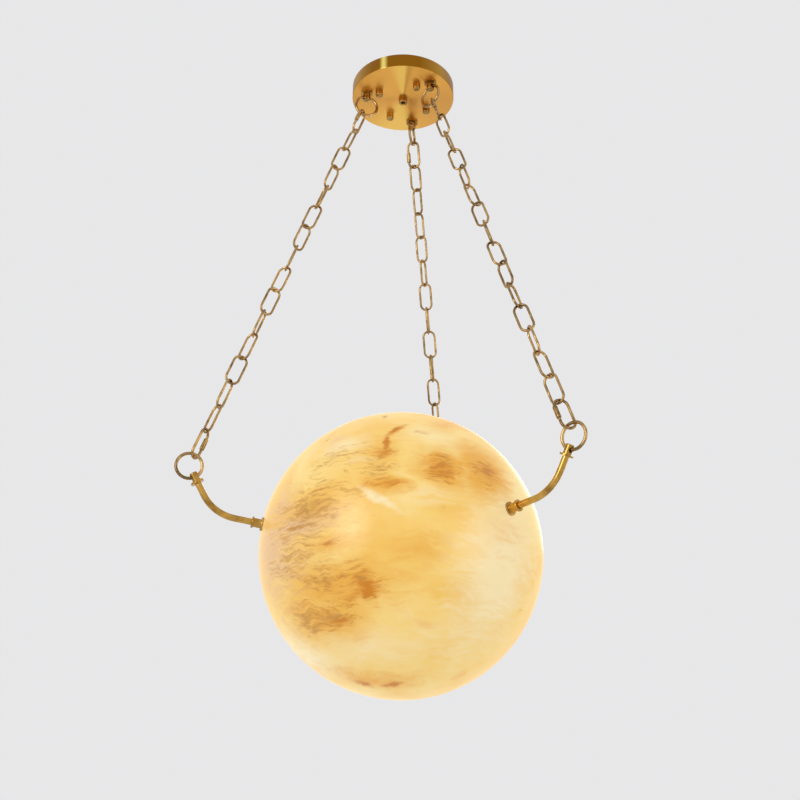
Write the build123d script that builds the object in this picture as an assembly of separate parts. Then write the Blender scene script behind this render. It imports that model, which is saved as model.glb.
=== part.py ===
from build123d import *
from math import atan2, cos, floor, radians, sin, sqrt, tan
import os

os.makedirs("parts", exist_ok=True)

# Marble ball chandelier: a hollow marble ball on three brass arms and three chains under a round canopy.
# Units are millimetres. The origin is the middle of the ceiling plane, +Z up, and the lamp hangs to -Z.
# A chain, its rings and its arm lie in one upright plane through the Z axis, one plane for each azimuth.

# Ball and lid
ball_diameter = 350.0
ball_wall = 9.0
ball_drop = 704.0              # ceiling to the middle of the ball
lid_diameter = 175.0
lid_gap = 0.7                  # square to the conical seat
lid_seal_thickness = 0.5
lid_seal_width = 6.0
lid_seal_play = 0.02           # between the seal and its conical seat

# Canopy
canopy_diameter = 150.0
canopy_height = 20.0
canopy_wall = 1.5
canopy_floor = 2.0
canopy_edge_radius = 0.8
load_plate_inset = 7.0         # canopy edge to the edge of the load plate
load_plate_thickness = 3.0
bracket_inset = 13.0           # canopy edge to the edge of the bracket
bracket_thickness = 3.0
bracket_centre_hole = 24.0
screw_slot_spacing = 84.0
screw_slot_length = 14.0
screw_slot_width = 5.5

# Where the arms stand round the Z axis
arm_azimuth = {"left": 195.4, "right": 315.4, "back": 75.4}

# Studs and cap nuts that hold the canopy
stud_inset = 35.0              # canopy edge to a stud
stud_azimuth = 29.25
stud_count = 4
stud_diameter = 5.0
stud_hole_clearance = 0.5
stud_nut_width = 8.0
stud_nut_height = 4.0
cap_nut_diameter = 10.7
cap_nut_height = 9.0
cap_nut_edge = 1.0
cap_nut_roof = 2.0

# Bush in the middle of the canopy
bush_head_diameter = 13.0
bush_head_height = 6.5
bush_diameter = 10.0
bush_bore = 6.5
bush_neck_end = 1.0            # neck above its nut
bush_hole_clearance = 0.4
bush_nut_width = 14.0
bush_nut_height = 3.0

# Eye bolts
eye_inset = 19.5               # canopy edge to an eye bolt
eye_flange_diameter = 17.5
eye_flange_thickness = 2.5
eye_stem_diameter = 11.0
eye_stem_end = 5.0             # stem beyond the middle of the cross hole
eye_stem_edge = 1.5
eye_hole_drop = 8.25           # canopy to the middle of the cross hole
eye_hole_diameter = 7.2
eye_hole_edge = 0.8
eye_shank_diameter = 8.0
eye_shank_hole_clearance = 0.4
eye_washer_diameter = 16.0
eye_washer_thickness = 1.6
eye_nut_width = 13.0
eye_nut_height = 5.5
eye_shank_end = 1.2            # shank above its nut

# Rings
ring_outer_diameter = 35.5
ring_wire = 4.0

# Connecting links
connector_length = 43.0
connector_width = 20.5
connector_wire = 3.5
sleeve_diameter = 6.0
sleeve_length = 15.0
sleeve_gap = 0.1
upper_sleeve_shift = {"left": -3.0, "right": -3.0, "back": 3.0}  # down the chain from the link's middle
lower_sleeve_shift = {"left": -3.0, "right": -3.0, "back": -3.0}
upper_connector_turn = {"left": 30.0, "right": -26.0, "back": 12.0}
lower_connector_turn = {"left": 30.0, "right": 30.0, "back": -5.0}
upper_sleeve_side = {"left": 1, "right": -1, "back": 1}
lower_sleeve_side = {"left": -1, "right": -1, "back": 1}

# Chain links
link_width = 20.0
link_wire = 3.2
link_pitch_wish = 36.0         # the real pitch follows from the room between the connectors
first_link_turn = {"left": -28.0, "right": -82.0, "back": -44.0}
link_turn_step = {"left": 124.6, "right": 68.5, "back": 81.5}  # eased to reach the last link's turn
last_link_turn = {"left": 151.8, "right": 88.5, "back": 115.5}

# Play in the chain
link_gap = 0.1                 # between the links of one chain
joint_gap = 0.3                # where a connector hangs on a ring or a chain
tilted_joint_gap = 0.6         # at the upper rings of the two chains that follow the left one
open_joint_gap = 1.6           # at the lower rings that close those two chains
following_chains = ("right", "back")

# Arms
arm_latitude = 8.0             # height of the arm on the ball, as an angle above its middle
arm_tube_diameter = 8.0
arm_tube_bore = 6.0
arm_tube_play = 0.1            # between the tube and what it is pushed over or into
arm_bend_radius = 52.0
arm_tip_rise = 60.0            # slope of the arm's tip
lower_ring_reach = 91.0        # side of the ball to the middle of a lower ring
lower_ring_height = 90.0       # middle of the ball to the middle of a lower ring
arm_eye_disc_diameter = 16.5
arm_eye_disc_thickness = 2.2
arm_eye_stem_diameter = 10.0
arm_eye_hole_height = 6.0      # disc to the middle of the cross hole
arm_eye_end = 5.8              # knob beyond the middle of the cross hole
arm_eye_shank_length = 9.0

# Collars and the fixings in the ball wall
collar_flange_diameter = 16.5
collar_flange_thickness = 2.0
collar_neck_diameter = 11.0
collar_neck_length = 9.0
collar_cap_diameter = 14.0
collar_cap_thickness = 2.5
gasket_diameter = 16.5
gasket_thickness = 1.0
spot_face_diameter = 22.0
spot_face_depth = 0.6
spoke_diameter = 5.8
spoke_bore = 3.8
spoke_hole_clearance = 0.7
spoke_in_tube = 12.0
wall_washer_diameter = 20.0
wall_washer_thickness = 1.6
wall_washer_play = 0.1
wall_nut_width = 11.0
wall_nut_height = 5.0

# Hub and lamp
hub_diameter = 46.0
hub_height = 26.0
hub_edge = 1.5
spoke_in_hub = 11.0
holder_diameter = 38.0
holder_height = 34.0
holder_floor = 6.0
holder_edge = 1.5
bulb_cap_diameter = 26.0
bulb_cap_height = 26.0
bulb_cap_gap = 2.0
bulb_contact_diameter = 10.0
bulb_contact_height = 2.0
bulb_shoulder_height = 5.0
bulb_thread_depth = 1.0
bulb_thread_pitch = 3.6
bulb_globe_diameter = 60.0
bulb_globe_wall = 1.2
bulb_neck_diameter = 24.0
bulb_length = 104.0

# Terminals in the canopy
terminal_length = 30.0
terminal_width = 16.0
terminal_height = 9.0
terminal_edge = 1.5
terminal_ways = 3
terminal_bore = 3.5
terminal_screw_bore = 3.0
terminal_at = (8.0, 24.0)
earth_at = (-24.0, 4.0)
earth_head_diameter = 8.0
earth_head_height = 2.5
earth_nut_width = 7.0
earth_nut_height = 3.2
earth_diameter = 4.0

# Worked out from the sizes above
ball_radius = ball_diameter / 2
ball_bore_radius = ball_radius - ball_wall
ball_middle_z = -ball_drop
lower_ring_radius = ball_radius + lower_ring_reach
load_plate_diameter = canopy_diameter - 2 * load_plate_inset
bracket_diameter = canopy_diameter - 2 * bracket_inset
stud_circle_radius = canopy_diameter / 2 - stud_inset
eye_circle_radius = canopy_diameter / 2 - eye_inset
canopy_face_z = -canopy_height
floor_top_z = canopy_face_z + canopy_floor
plate_top_z = floor_top_z + load_plate_thickness
ring_radius = (ring_outer_diameter - ring_wire) / 2
ring_inner_radius = ring_radius - ring_wire / 2
upper_hole_z = canopy_face_z - eye_hole_drop
upper_ring_z = upper_hole_z - ring_radius
lower_ring_z = ball_middle_z + lower_ring_height


def save(shape, name):
    export_step(shape, f"parts/{name}.step")


def hexagon_nut(width, height, bore):
    """A nut on Z, from 0 up to its height, chamfered like a machined nut."""
    prism = extrude(RegularPolygon(width / 2, 6, major_radius=False), height)
    cone_top = width / 2 * 1.03
    edge = width * 0.06
    dome = revolve(
        Plane.XZ
        * Polygon(
            (0, 0), (cone_top - edge, 0), (cone_top + edge, edge),
            (cone_top + edge, height - edge), (cone_top - edge, height), (0, height), align=None,
        ),
        Axis.Z,
    )
    return (prism & dome) - Cylinder(bore / 2, height, align=(Align.CENTER, Align.CENTER, Align.MIN))


def disc(diameter, height, bottom=0.0):
    """A round solid on Z that stands on the given height."""
    return Pos(0, 0, bottom) * Cylinder(diameter / 2, height, align=(Align.CENTER, Align.CENTER, Align.MIN))


def washer(diameter, thickness, bore):
    return disc(diameter, thickness) - disc(bore, thickness)


def stadium_link(length, width, wire):
    """A closed oval of wire in the XZ plane, its length along Z and its middle at the origin."""
    bow_radius = (width - wire) / 2
    straight = length - width
    side = Cylinder(wire / 2, straight)
    half_ring = Torus(bow_radius, wire / 2, major_angle=180, align=(Align.CENTER, Align.MIN, Align.CENTER))
    bow = Rot(90, 0, 0) * half_ring
    link = Pos(bow_radius, 0, 0) * side + Pos(-bow_radius, 0, 0) * side
    link += Pos(0, 0, straight / 2) * bow
    link += Pos(0, 0, -straight / 2) * Rot(0, 180, 0) * bow
    return link


def at_azimuth(name, radius, height):
    """A point of the upright plane of one arm."""
    angle = radians(arm_azimuth[name])
    return Vector(radius * cos(angle), radius * sin(angle), height)


def tangent(name):
    angle = radians(arm_azimuth[name])
    return Vector(-sin(angle), cos(angle), 0)


def radial(name):
    angle = radians(arm_azimuth[name])
    return Vector(cos(angle), sin(angle), 0)


def frame(origin, along, side):
    """A location whose Z runs along the first direction and whose X points to the side."""
    return Plane(origin=origin, x_dir=side, z_dir=along).location


def chain_axis(name):
    """Start, direction and length of the line from the upper to the lower ring middle."""
    start = at_azimuth(name, eye_circle_radius, upper_ring_z)
    end = at_azimuth(name, lower_ring_radius, lower_ring_z)
    return start, (end - start).normalized(), (end - start).length


def link_on_chain(name, distance, turn):
    """A location on the chain whose Z runs down the chain; turn 0 sets X to the tangent."""
    start, down, _ = chain_axis(name)
    return frame(start + down * distance, down, tangent(name)) * Rot(0, 0, turn)


def lathe(*points):
    """A solid of revolution on Z from its outline in (radius, height)."""
    return revolve(Plane.XZ * Polygon(*points, align=None), Axis.Z)


def drilled_knob(diameter, hole_at, length, hole, hole_edge, end_edge):
    """A stem on Z that grows to -Z, rounded at its end, with a cross hole along X eased at both mouths."""
    stem = Cylinder(diameter / 2, length, align=(Align.CENTER, Align.CENTER, Align.MAX))
    stem = fillet(stem.edges().group_by(Axis.Z)[0], end_edge)
    drill = Rot(0, 90, 0) * Cylinder(hole / 2, diameter * 2)
    mouth = diameter / 2 + hole_edge
    flare = Cone(hole / 2, hole / 2 + 2 * hole_edge, 2 * hole_edge)
    cutter = drill + Rot(0, 90, 0) * Pos(0, 0, mouth - hole_edge) * flare
    cutter += Rot(0, -90, 0) * Pos(0, 0, mouth - hole_edge) * flare
    return stem - Pos(0, 0, -hole_at) * cutter


def round_group(shape, count, radius, first_azimuth):
    """Copies of one solid on a circle round Z."""
    return [
        Rot(0, 0, first_azimuth + 360 / count * i) * Pos(radius, 0, 0) * shape
        for i in range(count)
    ]


def at_eyes(shape):
    """Copies of one solid over the three eye bolts, X pointing away from the Z axis."""
    return [
        Rot(0, 0, arm_azimuth[name]) * Pos(eye_circle_radius, 0, 0) * shape
        for name in arm_azimuth
    ]


# Canopy cup
cup_radius = canopy_diameter / 2
cup_bore = cup_radius - canopy_wall
cup = Cylinder(cup_radius, canopy_height, align=(Align.CENTER, Align.CENTER, Align.MAX))
cup = fillet(cup.edges().group_by(Axis.Z)[0], canopy_edge_radius)
cup -= disc(2 * cup_bore, canopy_height - canopy_floor, floor_top_z)
stud_hole = stud_diameter + stud_hole_clearance
shank_hole = eye_shank_diameter + eye_shank_hole_clearance
bush_hole = bush_diameter + bush_hole_clearance
stud_passage = disc(stud_hole, canopy_height, -canopy_height)
floor_holes = round_group(stud_passage, stud_count, stud_circle_radius, stud_azimuth)
floor_holes += at_eyes(disc(shank_hole, canopy_height, -canopy_height))
floor_holes.append(disc(bush_hole, canopy_height, -canopy_height))
cup -= floor_holes
save(cup, "canopy_cup")

# Load plate on the floor of the cup, which spreads the pull of the three chains
load_plate = disc(load_plate_diameter, load_plate_thickness, floor_top_z) - floor_holes
earth_place = Pos(earth_at[0], earth_at[1], 0)
earth_hole = earth_place * disc(earth_diameter + stud_hole_clearance, canopy_height, -canopy_height)
load_plate -= earth_hole
save(load_plate, "canopy_load_plate")

# Bracket that is screwed to the ceiling, with two slots for the screws
bracket = disc(bracket_diameter, bracket_thickness, -bracket_thickness)
bracket -= disc(bracket_centre_hole, bracket_thickness, -bracket_thickness)
slot = extrude(SlotOverall(screw_slot_length, screw_slot_width), bracket_thickness)
bracket -= round_group(Pos(0, 0, -bracket_thickness) * slot, 2, screw_slot_spacing / 2, 0)
bracket -= round_group(
    disc(stud_diameter, bracket_thickness, -bracket_thickness), stud_count, stud_circle_radius, stud_azimuth
)
save(bracket, "ceiling_bracket")

# Studs from the bracket down into the cap nuts
stud_end_z = canopy_face_z - cap_nut_height + cap_nut_roof
stud = disc(stud_diameter, -stud_end_z, stud_end_z)
save(Compound(round_group(stud, stud_count, stud_circle_radius, stud_azimuth)), "canopy_studs")

# Lock nuts under the bracket
lock_nut = hexagon_nut(stud_nut_width, stud_nut_height, stud_diameter)
lock_nut = Pos(0, 0, -bracket_thickness - stud_nut_height) * lock_nut
save(Compound(round_group(lock_nut, stud_count, stud_circle_radius, stud_azimuth)), "stud_lock_nuts")

# Cap nuts below the canopy
cap_nut = Cylinder(cap_nut_diameter / 2, cap_nut_height, align=(Align.CENTER, Align.CENTER, Align.MAX))
cap_nut = fillet(cap_nut.edges().group_by(Axis.Z)[0], cap_nut_edge)
cap_nut = Pos(0, 0, canopy_face_z) * cap_nut - disc(stud_diameter, -stud_end_z, stud_end_z)
save(Compound(round_group(cap_nut, stud_count, stud_circle_radius, stud_azimuth)), "cap_nuts")

# Bush in the middle: head below the canopy, threaded neck up through the floor and the load plate
bush_head_z = canopy_face_z - bush_head_height
bush_neck_length = canopy_floor + load_plate_thickness + bush_nut_height + bush_neck_end
bush_head = Pos(0, 0, bush_head_z) * Cylinder(
    bush_head_diameter / 2, bush_head_height, align=(Align.CENTER, Align.CENTER, Align.MIN)
)
bush_head = fillet(bush_head.edges().group_by(Axis.Z)[0], cap_nut_edge)
bush = bush_head + disc(bush_diameter, bush_neck_length, canopy_face_z)
bush -= disc(bush_bore, bush_head_height + bush_neck_length, bush_head_z)
save(bush, "centre_bush")
save(Pos(0, 0, plate_top_z) * hexagon_nut(bush_nut_width, bush_nut_height, bush_diameter), "centre_bush_nut")

# Eye bolts: flange and cross-drilled stem below the canopy, threaded shank above its floor
shank_top_z = plate_top_z + eye_washer_thickness + eye_nut_height + eye_shank_end
eye_top_z = canopy_face_z - eye_flange_thickness
for name in arm_azimuth:
    stem_length = eye_hole_drop - eye_flange_thickness + eye_stem_end
    stem = drilled_knob(
        eye_stem_diameter, eye_hole_drop - eye_flange_thickness, stem_length,
        eye_hole_diameter, eye_hole_edge, eye_stem_edge,
    )
    eye = Pos(0, 0, eye_top_z) * stem
    eye += disc(eye_flange_diameter, eye_flange_thickness, eye_top_z)
    eye += disc(eye_shank_diameter, shank_top_z - canopy_face_z, canopy_face_z)
    save(Rot(0, 0, arm_azimuth[name]) * Pos(eye_circle_radius, 0, 0) * eye, f"eye_bolt_{name}")
eye_washer = Pos(0, 0, plate_top_z) * washer(eye_washer_diameter, eye_washer_thickness, shank_hole)
save(Compound(at_eyes(eye_washer)), "eye_bolt_washers")
eye_nut = hexagon_nut(eye_nut_width, eye_nut_height, eye_shank_diameter)
save(Compound(at_eyes(Pos(0, 0, plate_top_z + eye_washer_thickness) * eye_nut)), "eye_bolt_nuts")

# Terminal block and its screws, on the load plate
block = Pos(0, 0, terminal_height / 2) * Box(terminal_length, terminal_width, terminal_height)
block = fillet(block.edges().filter_by(Axis.Z), terminal_edge)
way_pitch = terminal_length / terminal_ways
way_bore = Pos(0, 0, terminal_height * 0.45) * Rot(90, 0, 0) * Cylinder(terminal_bore / 2, terminal_width)
screw_seat = disc(terminal_screw_bore, terminal_height * 0.55, terminal_height * 0.45)
terminal_screw = disc(terminal_screw_bore, terminal_height * 0.2, terminal_height * 0.7)
ways = [Pos((i - (terminal_ways - 1) / 2) * way_pitch, 0, 0) for i in range(terminal_ways)]
block -= [place * way_bore for place in ways]
block -= [place * screw_seat for place in ways]
terminal_place = Pos(terminal_at[0], terminal_at[1], plate_top_z)
save(terminal_place * block, "terminal_block")
save(terminal_place * Compound([place * terminal_screw for place in ways]), "terminal_screws")

# Earth terminal: a brass screw up through the load plate, with its nut
earth_base_z = plate_top_z + earth_nut_height
earth_screw = disc(earth_diameter, load_plate_thickness + earth_nut_height, floor_top_z)
earth_screw += disc(earth_head_diameter, earth_head_height, earth_base_z)
save(earth_place * earth_screw, "earth_screw")
earth_nut = hexagon_nut(earth_nut_width, earth_nut_height, earth_diameter)
save(earth_place * Pos(0, 0, plate_top_z) * earth_nut, "earth_nut")

# Rings: each hangs in the upright plane of its chain
ring = Torus(ring_radius, ring_wire / 2)
for name in arm_azimuth:
    upper_spot = at_azimuth(name, eye_circle_radius, upper_ring_z)
    lower_spot = at_azimuth(name, lower_ring_radius, lower_ring_z)
    save(frame(upper_spot, tangent(name), radial(name)) * ring, f"upper_ring_{name}")
    save(frame(lower_spot, tangent(name), radial(name)) * ring, f"lower_ring_{name}")

# Connecting links and chains, from the upper ring down
connector_inner = connector_length - 2 * connector_wire
connector_bow = (connector_width - connector_wire) / 2
sleeve_bore = connector_wire / 2 + sleeve_gap
sleeve = Cylinder(sleeve_diameter / 2, sleeve_length) - Cylinder(sleeve_bore, sleeve_length)
connector = stadium_link(connector_length, connector_width, connector_wire)
for name in arm_azimuth:
    _, _, reach = chain_axis(name)
    follows = name in following_chains
    start_gap = tilted_joint_gap if follows else joint_gap
    end_gap = open_joint_gap if follows else joint_gap
    upper_inner = ring_inner_radius - start_gap
    lower_inner = reach - ring_inner_radius + end_gap
    upper_middle = upper_inner + connector_inner / 2
    lower_middle = lower_inner - connector_inner / 2
    for place, middle, turns, sides, shifts in (
        ("upper", upper_middle, upper_connector_turn, upper_sleeve_side, upper_sleeve_shift),
        ("lower", lower_middle, lower_connector_turn, lower_sleeve_side, lower_sleeve_shift),
    ):
        spot = link_on_chain(name, middle, turns[name])
        save(spot * connector, f"{place}_connector_{name}")
        sleeve_place = Pos(sides[name] * connector_bow, 0, shifts[name])
        save(spot * sleeve_place * sleeve, f"{place}_connector_sleeve_{name}")
    chain_start = upper_inner + connector_inner - joint_gap
    chain_end = lower_inner - connector_inner + joint_gap
    count = round((chain_end - chain_start) / link_pitch_wish)
    pitch = (chain_end - chain_start - link_gap) / count
    link = stadium_link(pitch + link_gap + 2 * link_wire, link_width, link_wire)
    steps = count - 1
    turn_wish = first_link_turn[name] + link_turn_step[name] * steps
    turn_missing = (last_link_turn[name] - turn_wish + 90) % 180 - 90
    turn_step = link_turn_step[name] + turn_missing / steps
    links = []
    for i in range(count):
        middle = chain_start + pitch * (i + 0.5) + link_gap / 2
        turn = first_link_turn[name] + turn_step * i
        links.append(link_on_chain(name, middle, turn) * link)
    save(Compound(links), f"chain_{name}")

# Arms, drawn in the XZ plane of their azimuth from the middle of the ball
arm_angle = radians(arm_latitude)
tip_angle = radians(arm_tip_rise)
out = Vector(cos(arm_angle), 0, sin(arm_angle))
rise = Vector(cos(tip_angle), 0, sin(tip_angle))
middle = Vector(0, 0, ball_middle_z)
tip_hole = Vector(lower_ring_radius, 0, lower_ring_z) - rise * ring_radius
seat = ball_radius - spot_face_depth
tube_start = seat + gasket_thickness + collar_flange_thickness
to_tip = tip_hole - middle
cross = out.X * rise.Z - out.Z * rise.X
corner_distance = (to_tip.X * rise.Z - to_tip.Z * rise.X) / cross
corner = middle + out * corner_distance
disc_top = arm_eye_hole_height
tube_end = tip_hole - rise * (disc_top + arm_eye_disc_thickness)
bend_cut = arm_bend_radius * tan((tip_angle - arm_angle) / 2)
bend_start = corner - out * bend_cut
bend_end = corner + rise * bend_cut
arm_line = Line(middle + out * tube_start, bend_start)
arm_line += TangentArc(bend_start, bend_end, tangent=out)
arm_line += Line(bend_end, tube_end)
tube_section = Circle(arm_tube_diameter / 2) - Circle(arm_tube_bore / 2)
tube_plane = Plane(origin=middle + out * tube_start, x_dir=(0, 1, 0), z_dir=out)
arm_tube = sweep(tube_plane * tube_section, path=arm_line)
tip_plane = Plane(origin=tip_hole, x_dir=rise.cross(Vector(0, 1, 0)), z_dir=-rise).location
knob_length = arm_eye_hole_height + arm_eye_end
knob = drilled_knob(
    arm_eye_stem_diameter, arm_eye_hole_height, knob_length, eye_hole_diameter, eye_hole_edge, eye_stem_edge
)
arm_eye = Pos(0, 0, arm_eye_hole_height) * knob
arm_eye += disc(arm_eye_disc_diameter, arm_eye_disc_thickness, arm_eye_hole_height)
arm_eye += disc(
    arm_tube_bore - arm_tube_play, arm_eye_shank_length, arm_eye_hole_height + arm_eye_disc_thickness
)
arm_eye = tip_plane * arm_eye

# Fixings of an arm, on the line from the middle of the ball through its wall
arm_line_place = Plane(origin=middle, x_dir=(0, 1, 0), z_dir=out).location
collar_bore = arm_tube_diameter + arm_tube_play
collar_base = seat + gasket_thickness
neck_end = tube_start + collar_neck_length
collar_end = neck_end + collar_cap_thickness
spoke_hole = spoke_diameter + spoke_hole_clearance
collar = disc(collar_flange_diameter, collar_flange_thickness, collar_base)
collar += disc(collar_neck_diameter + 2 * arm_tube_play, collar_neck_length, tube_start)
collar += disc(collar_cap_diameter, collar_cap_thickness, neck_end)
collar -= disc(spoke_hole, collar_flange_thickness, collar_base)
collar -= disc(collar_bore, collar_end - tube_start, tube_start)
gasket = Pos(0, 0, seat) * washer(gasket_diameter, gasket_thickness, spoke_hole)
wall_washer_top = sqrt(ball_bore_radius**2 - (wall_washer_diameter / 2) ** 2) - wall_washer_play
wall_washer_base = wall_washer_top - wall_washer_thickness
wall_washer = Pos(0, 0, wall_washer_base) * washer(wall_washer_diameter, wall_washer_thickness, spoke_hole)
wall_nut = hexagon_nut(wall_nut_width, wall_nut_height, spoke_diameter)
wall_nut = Pos(0, 0, wall_washer_base - wall_nut_height) * wall_nut
spoke_start = hub_diameter / 2 - spoke_in_hub
spoke_end = tube_start + spoke_in_tube
spoke = disc(spoke_diameter, spoke_end - spoke_start, spoke_start)
spoke -= disc(spoke_bore, spoke_end - spoke_start, spoke_start)
for name in arm_azimuth:
    turn = Rot(0, 0, arm_azimuth[name])
    save(turn * arm_tube, f"arm_tube_{name}")
    save(turn * arm_eye, f"arm_eye_{name}")
    save(turn * arm_line_place * collar, f"arm_collar_{name}")
for shape, node in (
    (gasket, "arm_gaskets"),
    (wall_washer, "ball_wall_washers"),
    (wall_nut, "ball_wall_nuts"),
    (spoke, "arm_spokes"),
):
    save(Compound([Rot(0, 0, angle) * arm_line_place * shape for angle in arm_azimuth.values()]), node)

# Marble ball, with a conical seat for its lid and a spot face for each arm
lid_angle = atan2(lid_diameter / 2, sqrt(ball_radius**2 - (lid_diameter / 2) ** 2))


def seat_cone(offset):
    """A cone that opens upward from the middle of the ball, moved square to its surface by the offset."""
    drop = offset / sin(lid_angle)
    height = ball_radius * 1.2
    return Pos(0, 0, -drop) * lathe((0, 0), (height * tan(lid_angle), height), (0, height))


shell = Sphere(ball_radius) - Sphere(ball_bore_radius)
lid_cone = seat_cone(0)
ball = shell - lid_cone
inner_lid_cone = seat_cone(-lid_gap)
lid = shell & inner_lid_cone
ring_gap = (shell & seat_cone(-lid_seal_play)) - seat_cone(-lid_seal_play - lid_seal_thickness)
seal = ring_gap & Sphere(ball_bore_radius + lid_seal_width)
for angle in arm_azimuth.values():
    at_arm = Rot(0, 0, angle) * Plane(origin=(0, 0, 0), x_dir=(0, 1, 0), z_dir=out).location
    ball -= at_arm * disc(spot_face_diameter, 2 * spot_face_depth, seat)
    ball -= at_arm * disc(spoke_hole, ball_wall * 2, ball_bore_radius - ball_wall / 2)
ball_place = Pos(0, 0, ball_middle_z)
save(ball_place * ball, "marble_ball")
save(ball_place * lid, "marble_lid")
save(ball_place * seal, "lid_seal")

# Hub that ties the spokes together, with a passage for the lamp's wires
hub = Cylinder(hub_diameter / 2, hub_height)
hub = chamfer(hub.edges().filter_by(GeomType.CIRCLE), hub_edge)
hub = ball_place * hub
hub -= Pos(0, 0, ball_middle_z) * disc(spoke_start * 1.2, hub_height, -hub_height / 2)
for angle in arm_azimuth.values():
    hub -= Rot(0, 0, angle) * arm_line_place * disc(spoke_diameter, hub_diameter, spoke_start)
    hub -= Rot(0, 0, angle) * arm_line_place * disc(spoke_bore, spoke_start, 0)
save(hub, "lamp_hub")

# Lamp holder on the hub
hub_top_z = ball_middle_z + hub_height / 2
holder = disc(holder_diameter, holder_height)
holder = fillet(holder.edges().group_by(Axis.Z)[-1], holder_edge)
holder -= disc(bulb_cap_diameter + 2 * bulb_cap_gap, holder_height, holder_floor)
holder -= disc(bush_bore, holder_floor)
save(Pos(0, 0, hub_top_z) * holder, "lamp_holder")

# Lamp: a threaded cap and a glass globe
cap_base_z = hub_top_z + holder_floor
cap_core = bulb_cap_diameter / 2 - bulb_thread_depth
turns = floor((bulb_cap_height - bulb_shoulder_height) / bulb_thread_pitch)
contact_radius = bulb_contact_diameter / 2
cap_outline = [(0, 0), (contact_radius, 0), (contact_radius, bulb_contact_height)]
cap_outline.append((cap_core - bulb_thread_depth, bulb_shoulder_height))
for i in range(turns):
    low = bulb_shoulder_height + i * bulb_thread_pitch
    cap_outline.append((cap_core, low + bulb_thread_pitch / 9))
    cap_outline.append((cap_core + bulb_thread_depth, low + bulb_thread_pitch / 2))
cap_outline += [(cap_core, bulb_shoulder_height + turns * bulb_thread_pitch), (cap_core, bulb_cap_height)]
cap_outline.append((0, bulb_cap_height))
bulb_cap = lathe(*cap_outline)
save(Pos(0, 0, cap_base_z) * bulb_cap, "lamp_cap")
globe_radius = bulb_globe_diameter / 2
globe_middle = bulb_length - globe_radius


def globe(inset):
    """The lamp's globe and its tapering neck, moved inward by the inset."""
    neck_height = globe_middle - bulb_cap_height - globe_radius * 0.5
    neck = Cone(
        bulb_neck_diameter / 2 - inset, globe_radius * 0.86 - inset, neck_height,
        align=(Align.CENTER, Align.CENTER, Align.MIN),
    )
    return Pos(0, 0, globe_middle) * Sphere(globe_radius - inset) + Pos(0, 0, bulb_cap_height) * neck


save(Pos(0, 0, cap_base_z) * (globe(0) - globe(bulb_globe_wall)), "lamp_globe")
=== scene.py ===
import math

import bmesh
import bpy
from mathutils import Matrix, Vector


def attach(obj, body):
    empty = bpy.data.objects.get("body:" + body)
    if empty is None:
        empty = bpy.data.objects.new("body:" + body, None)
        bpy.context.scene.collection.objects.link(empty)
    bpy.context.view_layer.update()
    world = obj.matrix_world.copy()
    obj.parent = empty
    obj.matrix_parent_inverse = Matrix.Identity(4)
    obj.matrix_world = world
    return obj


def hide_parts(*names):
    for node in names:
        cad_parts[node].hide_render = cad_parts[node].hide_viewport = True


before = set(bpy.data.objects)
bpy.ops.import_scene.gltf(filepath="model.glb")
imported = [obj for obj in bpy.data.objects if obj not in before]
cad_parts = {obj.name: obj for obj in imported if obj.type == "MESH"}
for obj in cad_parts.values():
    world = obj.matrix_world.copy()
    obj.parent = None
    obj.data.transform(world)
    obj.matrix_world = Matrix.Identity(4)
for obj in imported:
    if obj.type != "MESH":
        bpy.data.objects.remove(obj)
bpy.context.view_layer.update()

MM = 0.001

# Sizes of the lamp in millimetres, the same as in the part
BALL_RADIUS = 175.0
BALL_DROP = 704.0
BALL_WALL = 9.0
LID_RADIUS = 87.5
LID_GAP = 0.7
CANOPY_RADIUS = 75.0
CANOPY_HEIGHT = 20.0
CANOPY_WALL = 1.5
CANOPY_FLOOR = 2.0
NUT_CIRCLE = 40.0
NUT_AZIMUTH = 29.25
NUT_RADIUS = 5.35
NUT_HEIGHT = 9.0
BUSH_RADIUS = 6.5
BUSH_HEIGHT = 6.5
BUSH_BORE = 3.25
BUSH_NECK_RADIUS = 5.0
BUSH_NECK = 9.0
EYE_CIRCLE = 55.5
EYE_HOLE_DROP = 8.25
RING_RADIUS = 15.75
RING_WIRE = 4.0
CONNECTOR_LENGTH = 43.0
CONNECTOR_WIDTH = 20.5
CONNECTOR_WIRE = 3.5
SLEEVE_RADIUS = 3.0
SLEEVE_LENGTH = 15.0
LINK_WIDTH = 20.0
LINK_WIRE = 3.2
LINK_WISH = 36.0
LINK_GAP = 0.1
JOINT_GAP = 0.3
TILTED_GAP = 0.6
OPEN_GAP = 1.6
ARM_RISE = 8.0
ARM_TIP_RISE = 60.0
ARM_BEND = 52.0
ARM_RADIUS = 4.0
LOWER_RING_OUT = 266.0
LOWER_RING_UP = 90.0
ARM_BORE = 3.0
SPOT_FACE_DEPTH = 0.6
GASKET = 1.0
COLLAR_FLANGE = 2.0
COLLAR_FLANGE_RADIUS = 8.25
COLLAR_NECK = 9.0
COLLAR_NECK_RADIUS = 5.6
COLLAR_CAP = 2.5
COLLAR_CAP_RADIUS = 7.0
COLLAR_BORE = 4.05
SPOKE_HOLE = 3.25
EYE_DISC_TOP = 6.0
EYE_DISC = 2.2

# Where the arms point and how the links of each chain turn, in degrees
ARM_AZIMUTH = {"left": 195.4, "right": 315.4, "back": 75.4}
FIRST_TURN = {"left": -28.0, "right": -82.0, "back": -44.0}
TURN_STEP = {"left": 124.6, "right": 68.5, "back": 81.5}
CONNECTOR_TURN = {
    "upper": {"left": 30.0, "right": -26.0, "back": 12.0},
    "lower": {"left": 30.0, "right": 30.0, "back": -5.0},
}
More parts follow.
